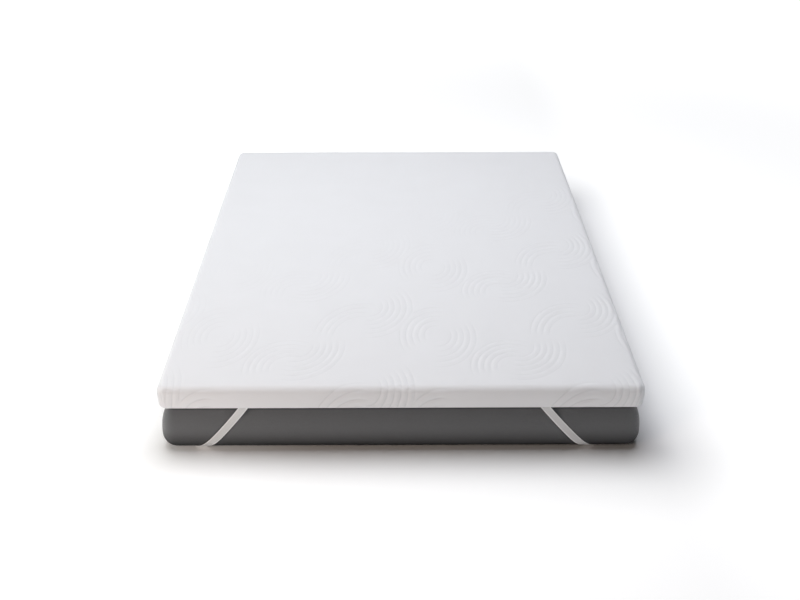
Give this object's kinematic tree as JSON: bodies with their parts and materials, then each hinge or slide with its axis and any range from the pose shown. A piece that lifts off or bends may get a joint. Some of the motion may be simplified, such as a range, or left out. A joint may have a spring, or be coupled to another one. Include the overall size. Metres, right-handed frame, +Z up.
{
  "type": "mattress topper on a mattress",
  "caption": "Foam topper in a white knit cover with arc ripples, held by elastic corner straps round a plain charcoal mattress.",
  "frame": {"origin": "on the floor, under the middle of the mattress", "axes": "+X to the right as seen from the foot end, +Y towards the head end, +Z up"},
  "size_m": [1.5376, 2.0456, 0.2409],
  "materials": {
    "knit_cover": "matt white jacquard knit with shallow arc ripples",
    "elastic": "ribbed off-white woven elastic",
    "mattress_cover": "plain charcoal knit"
  },
  "bodies": {
    "root": {"topper": "knit_cover", "strap_front_left": "elastic", "strap_front_right": "elastic", "strap_back_left": "elastic", "strap_back_right": "elastic", "mattress": "mattress_cover"}
  },
  "joints": []
}
